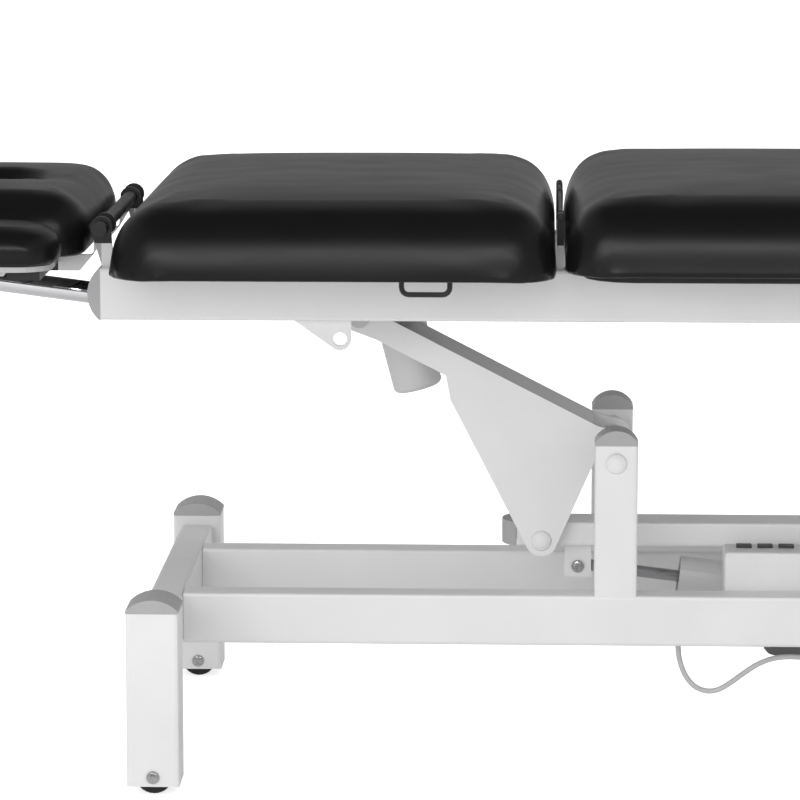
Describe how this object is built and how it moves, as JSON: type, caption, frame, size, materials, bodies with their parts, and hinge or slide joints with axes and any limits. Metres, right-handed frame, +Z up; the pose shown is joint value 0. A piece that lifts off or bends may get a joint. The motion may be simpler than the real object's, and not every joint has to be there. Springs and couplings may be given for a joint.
{
  "type": "electric massage table",
  "caption": "Padded treatment table on a white tube frame, raised by two bell-crank arms and an electric drive, with a tilting backrest, a headrest with a face hole and drop-down armrests.",
  "frame": {"origin": "centre of the footprint, on the floor", "axes": "+X towards the foot end, +Y to the far side, +Z up"},
  "size_m": [1.91, 0.66, 0.6946],
  "materials": {
    "painted_frame": "gloss",
    "cap_plastic": "satin",
    "steel": "satin",
    "chrome": "polished",
    "black_metal": "satin",
    "rubber": "matte",
    "box_plastic": "satin",
    "dark_plastic": "satin",
    "armrest_metal": "satin",
    "cable_sheath": "satin",
    "board": "matte",
    "upholstery": "satin"
  },
  "bodies": {
    "base": {"head_end_frame": "painted_frame", "foot_end_frame": "painted_frame", "base_rail_near": "painted_frame", "base_rail_far": "painted_frame", "mid_cross": "painted_frame", "head_leg_cap_near": "cap_plastic", "head_leg_cap_far": "cap_plastic", "foot_leg_cap_near": "cap_plastic", "foot_leg_cap_far": "cap_plastic", "head_pivot_axle": "painted_frame", "foot_pivot_axle": "painted_frame", "rubber_foot_near": "rubber", "rubber_foot_far": "rubber", "wheel_axle_near": "steel", "wheel_axle_far": "steel", "control_box": "box_plastic", "motor_cable": "cable_sheath"},
    "wheel_near": {"wheel_near": "rubber"},
    "wheel_far": {"wheel_far": "rubber"},
    "lift_arm_head": {"lift_arm_head_frame": "painted_frame"},
    "lift_arm_foot": {"lift_arm_foot_frame": "painted_frame"},
    "tie": {"tie_beam": "painted_frame", "tie_cap_head": "cap_plastic", "tie_cap_foot": "cap_plastic", "head_lever_pin": "painted_frame", "foot_lever_pin": "painted_frame", "tie_bolt": "steel"},
    "lift_rod": {"lift_rod": "steel"},
    "lift_tube": {"lift_tube": "steel", "lift_motor": "dark_plastic"},
    "top_frame": {"top_rail_near": "painted_frame", "top_rail_far": "painted_frame", "head_cross": "painted_frame", "head_pivot_cross": "painted_frame", "foot_pivot_cross": "painted_frame", "foot_cross": "painted_frame", "head_hanger_pin": "steel", "foot_hanger_pin": "steel", "headrest_bar": "black_metal", "backrest_hinge_rod": "steel", "leg_board": "board", "leg_cushion": "upholstery"},
    "backrest": {"backrest_board": "board", "backrest_cushion": "upholstery", "backrest_bracket": "painted_frame", "strap_loop_near": "black_metal", "strap_loop_far": "black_metal"},
    "drive": {"drive_gearbox": "dark_plastic", "drive_motor": "painted_frame"},
    "drive_rod": {"drive_rod": "steel"},
    "headrest": {"headrest_board": "board", "headrest_cushion": "upholstery", "headrest_bracket": "black_metal", "strut_bracket": "painted_frame"},
    "strut": {"strut_cylinder": "chrome"},
    "strut_rod": {"strut_rod": "steel"},
    "armrest_near": {"armrest_pad_near": "upholstery", "armrest_plate_near": "armrest_metal"},
    "armrest_far": {"armrest_pad_far": "upholstery", "armrest_plate_far": "armrest_metal"}
  },
  "joints": [
    {"name": "wheel_near_roll", "type": "hinge", "parent": "base", "child": "wheel_near", "pos_m": [-0.4625, -0.2935, 0.022], "axis": [0, 1, 0], "continuous": true},
    {"name": "wheel_far_roll", "type": "hinge", "parent": "base", "child": "wheel_far", "pos_m": [-0.4625, 0.2935, 0.022], "axis": [0, 1, 0], "continuous": true},
    {"name": "lift", "type": "hinge", "parent": "base", "child": "lift_arm_head", "pos_m": [0.065, 0, 0.3575], "axis": [0, 1, 0], "range_deg": [-28, 36]},
    {"name": "lift_foot_arm", "type": "hinge", "parent": "base", "child": "lift_arm_foot", "pos_m": [0.725, 0, 0.3575], "axis": [0, 1, 0], "range_deg": [-28, 36]},
    {"name": "top_level", "type": "hinge", "parent": "lift_arm_head", "child": "top_frame", "pos_m": [-0.2394, 0, 0.5135], "axis": [0, 1, 0], "range_deg": [-36, 28]},
    {"name": "tie_level", "type": "hinge", "parent": "lift_arm_head", "child": "tie", "pos_m": [-0.022, 0, 0.2452], "axis": [0, 1, 0], "range_deg": [-36, 28]},
    {"name": "lift_rod_swing", "type": "hinge", "parent": "tie", "child": "lift_rod", "pos_m": [0.022, 0, 0.2078], "axis": [0, 1, 0], "range_deg": [-4, 5]},
    {"name": "lift_tube_swing", "type": "hinge", "parent": "base", "child": "lift_tube", "pos_m": [0.64, 0, 0.133], "axis": [0, 1, 0], "range_deg": [-4, 5]},
    {"name": "backrest_tilt", "type": "hinge", "parent": "top_frame", "child": "backrest", "pos_m": [-0.002, 0, 0.65], "axis": [0, 1, 0], "range_deg": [0, 50]},
    {"name": "drive_swing", "type": "hinge", "parent": "top_frame", "child": "drive", "pos_m": [-0.255, 0.085, 0.5085], "axis": [0, 1, 0], "range_deg": [-10.5, 0.5]},
    {"name": "drive_rod_swing", "type": "hinge", "parent": "backrest", "child": "drive_rod", "pos_m": [-0.002, 0.085, 0.575], "axis": [0, 1, 0], "range_deg": [-60.5, 0.5]},
    {"name": "headrest_tilt", "type": "hinge", "parent": "top_frame", "child": "headrest", "pos_m": [-0.53, 0, 0.635], "axis": [0, 1, 0], "range_deg": [-20, 20]},
    {"name": "strut_swing", "type": "hinge", "parent": "top_frame", "child": "strut", "pos_m": [-0.546, 0, 0.533], "axis": [0, 1, 0], "range_deg": [-21, 21]},
    {"name": "strut_rod_swing", "type": "hinge", "parent": "headrest", "child": "strut_rod", "pos_m": [-0.885, 0, 0.5764], "axis": [0, 1, 0], "range_deg": [-1, 1]},
    {"name": "armrest_near_drop", "type": "hinge", "parent": "headrest", "child": "armrest_near", "pos_m": [-0.627, -0.212, 0.6], "axis": [0, 1, 0], "range_deg": [-35, 0]},
    {"name": "armrest_far_drop", "type": "hinge", "parent": "headrest", "child": "armrest_far", "pos_m": [-0.627, 0.212, 0.6], "axis": [0, 1, 0], "range_deg": [-35, 0]}
  ],
  "couplings": [
    {"joint": "lift_foot_arm", "follows": "lift", "ratio": 1},
    {"joint": "top_level", "follows": "lift", "ratio": -1},
    {"joint": "tie_level", "follows": "lift", "ratio": -1},
    {"joint": "lift_rod_swing", "follows": "lift", "ratio": 0.1225},
    {"joint": "lift_tube_swing", "follows": "lift", "ratio": 0.1225},
    {"joint": "drive_swing", "follows": "backrest_tilt", "ratio": -0.19},
    {"joint": "drive_rod_swing", "follows": "backrest_tilt", "ratio": -1.19},
    {"joint": "strut_swing", "follows": "headrest_tilt", "ratio": 1.008},
    {"joint": "strut_rod_swing", "follows": "headrest_tilt", "ratio": 0.008}
  ]
}
